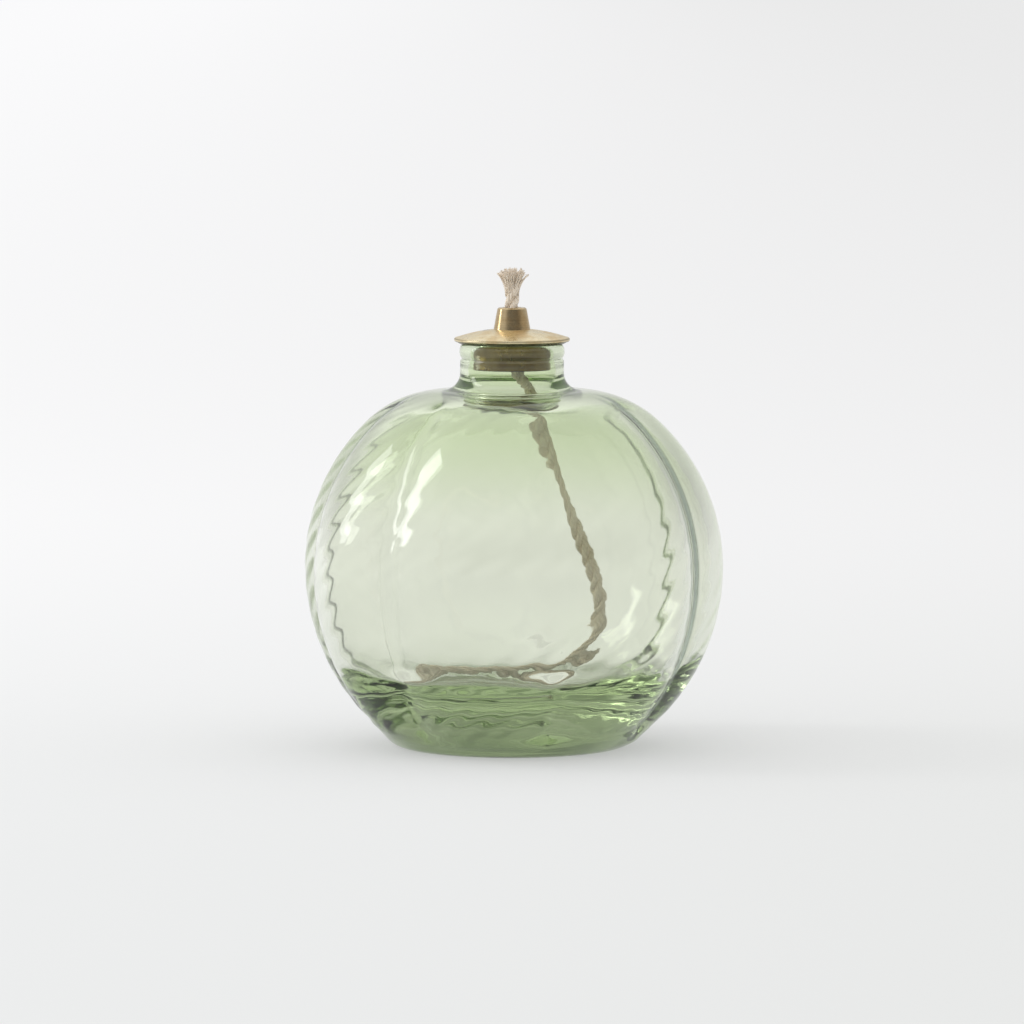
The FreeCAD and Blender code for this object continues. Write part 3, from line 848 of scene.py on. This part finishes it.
def lobed_grid(outline, settings, low, high):
    """Rows of points round the axis, lobed, ribbed and ringed, and how much painted shade each
    takes.
    """
    starts = np.radians(VALLEYS)
    halves = np.diff(np.append(starts, starts[0] + 2 * math.pi)) / 2
    off = np.linspace(-1, 1, COLUMNS_PER_LOBE + 1)[:-1]
    off = (1 - COLUMN_CROWDING) * off + COLUMN_CROWDING * np.sin(off * math.pi / 2)
    off = np.tile(off, len(starts))
    azimuth = np.repeat(starts + halves, COLUMNS_PER_LOBE)
    azimuth += off * np.repeat(halves, COLUMNS_PER_LOBE)
    # round crests run over into round valleys
    off = np.abs(off) / 2
    flank = 0.5 - VALLEY_ROUND
    dip = np.where(off < flank, 2 / flank * off ** 2, 1 - 2 / VALLEY_ROUND * (0.5 - off) ** 2)
    # half of each lobe's columns belong to the valley on either side of it
    sides = [SHADED_VALLEYS[(lobe + side) % len(SHADED_VALLEYS)] for lobe in range(len(SHADED_VALLEYS)) for side in (0, 1)]
    valley_shade = np.repeat(sides, COLUMNS_PER_LOBE // 2)
    radius, height = outline[:, 0], outline[:, 1]
    swell = smoothstep((height - low) / LOBES_RISE) * smoothstep((high - height) / LOBES_FALL)
    shape = 1 - settings.valley_depth / GLOBE_RADIUS * swell[:, None] * dip
    # ribs climb round the globe and stand out along its normal
    ahead = np.gradient(outline, axis=0)
    ahead /= np.linalg.norm(ahead, axis=1)[:, None]
    climb = GLOBE_RADIUS * np.arctan2(height - GLOBE_CENTRE, radius)
    phase = climb[:, None] / settings.rib_pitch - settings.rib_starts * azimuth / (2 * math.pi)
    strong = 1 + RIB_CHANGE * np.cos(azimuth - math.radians(RIB_STRONG_SIDE))
    calm = 1 - RIB_CALM * smoothstep((height - RIB_CALM_START) / (RIB_CALM_END - RIB_CALM_START))
    uneven = 1 - RIB_UNEVEN * (1 + np.sin(
        RIB_PATCHES * azimuth + 2 * math.pi * height[:, None] / RIB_PATCH_HEIGHT)) / 2
    rib = 0.5 * settings.rib_height * np.sin(2 * math.pi * phase) * (swell * calm)[:, None]
    rib *= strong * uneven
    along = np.concatenate([[0], np.cumsum(np.linalg.norm(np.diff(outline, axis=0), axis=1))])
    base = smoothstep((low + RINGS_FADE - height) / RINGS_FADE)
    base = base * smoothstep(radius / RINGS_FADE) * smoothstep(height / RINGS_START)
    for pitch, rise, turns, start in BASE_RINGS:
        wave = np.sin(2 * math.pi * along[:, None] / pitch + turns * azimuth + start)
        rib += 0.5 * rise * base[:, None] * wave
    out = radius[:, None] * shape + rib * ahead[:, 1][:, None]
    up = height[:, None] - rib * ahead[:, 0][:, None]
    # the painted shade is widest over the shoulder, where it runs out in a point
    upper = height > GLOBE_CENTRE
    end, full = VALLEY_SHADE_END_RADII
    taper = np.where(upper, smoothstep((radius - end) / (full - end)), swell)
    start, full = VALLEY_SHADE_WIDER_RADII
    wider = np.where(upper, smoothstep((start - radius) / (start - full)), 0)
    width = (VALLEY_SHADE_WIDTH + VALLEY_SHADE_WIDER * wider)[:, None]
    shaded = valley_shade * smoothstep((dip - 1 + width * taper[:, None]) / width)
    return np.stack([out * np.cos(azimuth), out * np.sin(azimuth), up], axis=2), shaded


def green_glass(settings):
    """Pale green soda-lime glass, mould-blown and fire-polished.

    It is clear and its edges are bright. It is nearly colourless where thin and deeper green where
    thick, at the base and in the neck. Painted shade darkens its foot and two of its valleys.
    """
    material, tree = blank_material("green_soda_glass_blown")
    place = add(tree, "ShaderNodeTexCoord")
    axes = add(tree, "ShaderNodeSeparateXYZ", {"Vector": place.outputs["Object"]})
    gathered = add(tree, "ShaderNodeMapRange", {
        "Value": axes.outputs["Z"], "From Min": GATHER_START, "From Max": GATHER_END,
    }, **EASED)
    skin = add(tree, "ShaderNodeMix", {
        0: gathered.outputs["Result"], 6: (*settings.skin, 1), 7: (*settings.neck_skin, 1),
    }, data_type="RGBA")
    # painted shade: the foot is darkened towards the table
    raised = add(tree, "ShaderNodeMapRange", {
        "Value": axes.outputs["Z"], "From Min": FOOT_SHADE_LOW, "From Max": FOOT_SHADE_HIGH,
    }, **EASED)
    skin = add(tree, "ShaderNodeMix", {
        0: raised.outputs["Result"], 6: (*settings.foot_painted_shade, 1), 7: skin.outputs[2],
    }, data_type="RGBA")
    # painted shade along two of the valleys, whose glass is no thicker than the rest
    valley_shade = add(tree, "ShaderNodeAttribute", attribute_name="valley_shade")
    skin = add(tree, "ShaderNodeMix", {
        0: valley_shade.outputs["Fac"], 6: skin.outputs[2], 7: (*settings.valley_painted_shade, 1),
    }, data_type="RGBA")
    shader = add(tree, "ShaderNodeBsdfPrincipled", {
        "Base Color": skin.outputs[2], "Roughness": GLASS_ROUGHNESS, "IOR": 1.52,
        "Transmission Weight": 1.0})
    depth = add(tree, "ShaderNodeVolumeAbsorption", {
        "Color": (*settings.tint, 1), "Density": settings.density})
    add(tree, "ShaderNodeOutputMaterial", {
        "Surface": shader.outputs[0], "Volume": depth.outputs[0]})
    return material


class LAMP_OT_glass(bpy.types.Operator):
    """Make the blown glass globe with its lobes, ribs, heavy base and lip"""

    bl_idname = "oil_lamp.glass"
    bl_label = "Glass Globe"

    def execute(self, context):
        settings = context.scene.lamp_glass
        low = FOOT_EDGE + FOOT_EDGE * math.sin(foot_bend()[1])
        outer, outer_shade = lobed_grid(outside_outline(), settings, low, lobes_end(0))
        inner, inner_shade = lobed_grid(
            inside_outline(), settings, FLOOR_HEIGHT + FLOOR_ROUND, lobes_end(WALL))
        rows = np.concatenate([outer[1:], inner[::-1][:-1]])
        shades = np.concatenate([outer_shade[1:], inner_shade[::-1][:-1]])
        count = rows.shape[1]
        points = np.concatenate([[outer[0, 0]], rows.reshape(-1, 3), [inner[0, 0]]])
        points[0, :2] = 0
        points[-1, :2] = 0
        last = len(points) - 1
        faces = []
        for j in range(count):
            k = (j + 1) % count
            faces.append((0, 1 + k, 1 + j))
            for i in range(len(rows) - 1):
                a, b = 1 + i * count, 1 + (i + 1) * count
                faces.append((a + j, a + k, b + k, b + j))
            end = 1 + (len(rows) - 1) * count
            faces.append((end + j, end + k, last))
        globe = new_piece("glass_globe", points, faces)
        valley_shade = globe.data.attributes.new("valley_shade", "FLOAT", "POINT")
        values = np.concatenate([[0], shades.ravel(), [0]]).astype(np.float32)
        valley_shade.data.foreach_set("value", values)
        put_finish(globe, green_glass(settings))
        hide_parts("glass_vessel")
        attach(globe, "vessel")
        return {"FINISHED"}


# ---- burner ----

VENT_RADIUS = 0.75 * MM
VENT_PLACE = 6.3 * MM
VENT_ANGLE = 165.0
# painted shade round the vent, for the dark inside the hole: it reaches this many of its radii,
# and leaves this share of the brass's colour
VENT_SHADE_REACH = 2.5
VENT_SHADE_SHARE = 0.12
# a line of painted shade sets off the plate's edge, for the shaded crease of its rolled rim: its
# radius, height over the rim and half width, the darkest share of that, and the share of the
# brass's colour that it leaves
EDGE_SHADE_RADIUS = 13.73 * MM
EDGE_SHADE_RISE = 1.25 * MM
EDGE_SHADE_WIDTH = 0.3 * MM
EDGE_SHADE_CORE = 0.3
EDGE_SHADE_SHARE = 0.6
# painted shade darkens the undersides: the share of the colour that it leaves, and the upward
# parts of a face's direction between which it ends
UNDERSIDE_SHADE_SHARE = 0.2
UNDERSIDE_SHADE_EDGE = (-0.8, -0.2)
# sizes of handling marks and of pits, and the values of each noise between which it takes effect
CLOUD_SIZE = 4.0 * MM
SPECK_SIZE = 0.6 * MM
TARNISH_EDGE = (0.42, 0.68)
GLOSS_EDGE = (0.35, 0.7)
SPECK_EDGE = (0.35, 0.6)
RING_EDGE = (0.38, 0.62)
# share of each colour that handled, slightly tarnished brass keeps
TARNISH = (0.88, 0.80, 0.70)
# share of its light that the brass keeps in the tool rings and in the pits
RING_SHADE = 0.86
SPECK_SHADE = 0.88
# roughness of clean and of cloudy brass, as shares of its finish's
GLOSS_CHANGE = (0.8, 1.5)


def turned_brass(name, colour, roughness, ring_pitch, ring_rise):
    """Bare brass turned on a lathe: fine rings about the axis, cloudy marks, and painted shade
    round the vent, along the plate's edge and on the undersides.
    """
    material, tree = blank_material(name)
    place = add(tree, "ShaderNodeTexCoord")
    axes = add(tree, "ShaderNodeSeparateXYZ", {"Vector": place.outputs["Object"]})
    flat = add(tree, "ShaderNodeCombineXYZ", {"X": axes.outputs["X"], "Y": axes.outputs["Y"]})
    away = add(tree, "ShaderNodeVectorMath", {0: flat.outputs["Vector"]}, operation="LENGTH")
    # tool marks run round the axis, so their noise only knows the distance from it and the height
    section = add(tree, "ShaderNodeCombineXYZ", {
        "X": away.outputs["Value"], "Y": axes.outputs["Z"]})
    rings = add(tree, "ShaderNodeTexNoise", {
        "Vector": section.outputs["Vector"], "Scale": 1 / ring_pitch, "Detail": 2.0,
        "Roughness": 0.65})
    clouds = add(tree, "ShaderNodeTexNoise", {
        "Vector": place.outputs["Object"], "Scale": 1 / CLOUD_SIZE, "Detail": 3.0,
        "Roughness": 0.6})
    specks = add(tree, "ShaderNodeTexNoise", {
        "Vector": place.outputs["Object"], "Scale": 1 / SPECK_SIZE, "Detail": 2.0,
        "Roughness": 0.7})
    tarnish = add(tree, "ShaderNodeMapRange", {
        "Value": clouds.outputs["Fac"], "From Min": TARNISH_EDGE[0], "From Max": TARNISH_EDGE[1],
    }, **EASED)
    dull = [part * left for part, left in zip(colour, TARNISH)]
    tarnished = add(tree, "ShaderNodeMix", {
        0: tarnish.outputs["Result"], 6: (*colour, 1), 7: (*dull, 1)}, data_type="RGBA")

    # each of these is the share of its colour that the brass keeps: the rings and pits are its own,
    # the vent, edge and underside shares are painted shade
    streak = add(tree, "ShaderNodeMapRange", {
        "Value": rings.outputs["Fac"], "From Min": RING_EDGE[0], "From Max": RING_EDGE[1],
        "To Min": RING_SHADE, "To Max": 1.0})
    mottle = add(tree, "ShaderNodeMapRange", {
        "Value": specks.outputs["Fac"], "From Min": SPECK_EDGE[0], "From Max": SPECK_EDGE[1],
        "To Min": SPECK_SHADE, "To Max": 1.0})
    # painted shade: a dark spot round the vent stands for the shaded hole
    angle = math.radians(VENT_ANGLE)
    vent = (VENT_PLACE * math.cos(angle), VENT_PLACE * math.sin(angle), 0)
    from_vent = add(tree, "ShaderNodeVectorMath", {
        0: flat.outputs["Vector"], 1: vent}, operation="DISTANCE")
    vent_shade = add(tree, "ShaderNodeMapRange", {
        "Value": from_vent.outputs["Value"],
        "From Min": VENT_RADIUS, "From Max": VENT_SHADE_REACH * VENT_RADIUS,
        "To Min": VENT_SHADE_SHARE, "To Max": 1.0}, **EASED)
    # painted shade: a dark line along the plate's edge
    line = (EDGE_SHADE_RADIUS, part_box("glass_vessel")[1].z + EDGE_SHADE_RISE, 0)
    from_line = add(tree, "ShaderNodeVectorMath", {
        0: section.outputs["Vector"], 1: line}, operation="DISTANCE")
    edge_shade = add(tree, "ShaderNodeMapRange", {
        "Value": from_line.outputs["Value"],
        "From Min": EDGE_SHADE_CORE * EDGE_SHADE_WIDTH, "From Max": EDGE_SHADE_WIDTH,
        "To Min": EDGE_SHADE_SHARE, "To Max": 1.0}, **EASED)
    # painted shade: faces turned downwards are darkened
    facing = add(tree, "ShaderNodeSeparateXYZ", {"Vector": place.outputs["Normal"]})
    underside_shade = add(tree, "ShaderNodeMapRange", {
        "Value": facing.outputs["Z"], "From Min": UNDERSIDE_SHADE_EDGE[0], "From Max": UNDERSIDE_SHADE_EDGE[1],
        "To Min": UNDERSIDE_SHADE_SHARE, "To Max": 1.0}, **EASED)
    kept = streak.outputs["Result"]
    for share in (mottle, vent_shade, edge_shade, underside_shade):
        product = add(tree, "ShaderNodeMath", {
            0: kept, 1: share.outputs["Result"]}, operation="MULTIPLY")
        kept = product.outputs["Value"]
    tone = add(tree, "ShaderNodeVectorMath", {
        0: tarnished.outputs[2], "Scale": kept}, operation="SCALE")

    gloss = add(tree, "ShaderNodeMapRange", {
        "Value": clouds.outputs["Fac"], "From Min": GLOSS_EDGE[0], "From Max": GLOSS_EDGE[1],
        "To Min": GLOSS_CHANGE[0] * roughness, "To Max": GLOSS_CHANGE[1] * roughness})
    relief = add(tree, "ShaderNodeBump", {
        "Height": rings.outputs["Fac"], "Strength": 1.0, "Distance": ring_rise})
    shader = add(tree, "ShaderNodeBsdfPrincipled", {
        "Base Color": tone.outputs["Vector"], "Metallic": 1.0, "Roughness": gloss.outputs["Result"],
        "Normal": relief.outputs["Normal"]})
    add(tree, "ShaderNodeOutputMaterial", {"Surface": shader.outputs[0]})
    return material


class LAMP_OT_burner(bpy.types.Operator):
    """Give the brass plate, cup, nozzle and nut their finishes"""

    bl_idname = "oil_lamp.burner"
    bl_label = "Burner"

    def execute(self, context):
        settings = context.scene.lamp_brass
        # name of the finish, colour, roughness, and the pitch and height of its rings
        finishes = {
            # satin dome with visible turning rings, which blur the room to a warm pale sheen
            "burner_plate": (
                "brass_satin_turned", settings.plate_colour, 0.30, 0.35 * MM, 0.004 * MM),
            # polished after turning: long mirror-like bands, softened by the last fine cut
            "wick_nozzle": (
                "brass_polished_turned", settings.nozzle_colour, 0.17, 0.25 * MM, 0.001 * MM),
            # drawn from sheet and skimmed, with a few soft rings; its colour is painted far darker
            # than brass, painted shade for its place under the plate and inside the neck
            "plug_collar": (
                "brass_drawn_skimmed", settings.cup_colour, 0.34, 0.6 * MM, 0.006 * MM),
            # milled flats left as cut: bright, with short fine marks
            "lock_nut": (
                "brass_milled_bright", settings.nut_colour, 0.28, 0.3 * MM, 0.003 * MM),
        }
        for node, (name, colour, roughness, pitch, rise) in finishes.items():
            put_finish(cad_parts[node], turned_brass(name, colour, roughness, pitch, rise))
        return {"FINISHED"}


# ---- panel and registration ----

OPERATORS = (LAMP_OT_stage, LAMP_OT_free_wick, LAMP_OT_wick_head, LAMP_OT_glass, LAMP_OT_burner)
SETTINGS = {
    "lamp_stage": LampStageSettings,
    "lamp_glass": LampGlassSettings,
    "lamp_brass": LampBrassSettings,
    "lamp_wick": LampWickSettings,
}


class LAMP_PT_panel(bpy.types.Panel):
    """Lists the lamp's operators and sizes"""

    bl_idname = "LAMP_PT_panel"
    bl_label = "Oil Lamp"
    bl_space_type = "VIEW_3D"
    bl_region_type = "UI"
    bl_category = "Oil Lamp"

    def draw(self, context):
        for operator in OPERATORS:
            self.layout.operator(operator.bl_idname)
        for name, group in SETTINGS.items():
            box = self.layout.box()
            for setting in group.__annotations__:
                box.prop(getattr(context.scene, name), setting)


def register():
    for group in SETTINGS.values():
        bpy.utils.register_class(group)
    for operator in OPERATORS:
        bpy.utils.register_class(operator)
    bpy.utils.register_class(LAMP_PT_panel)
    for name, group in SETTINGS.items():
        setattr(bpy.types.Scene, name, bpy.props.PointerProperty(type=group))


def unregister():
    for name in SETTINGS:
        delattr(bpy.types.Scene, name)
    bpy.utils.unregister_class(LAMP_PT_panel)
    for operator in reversed(OPERATORS):
        bpy.utils.unregister_class(operator)
    for group in reversed(list(SETTINGS.values())):
        bpy.utils.unregister_class(group)


def main():
    register()
    bpy.ops.oil_lamp.stage()
    bpy.ops.oil_lamp.free_wick()
    bpy.ops.oil_lamp.wick_head()
    bpy.ops.oil_lamp.glass()
    bpy.ops.oil_lamp.burner()


if __name__ == "__main__":
    main()
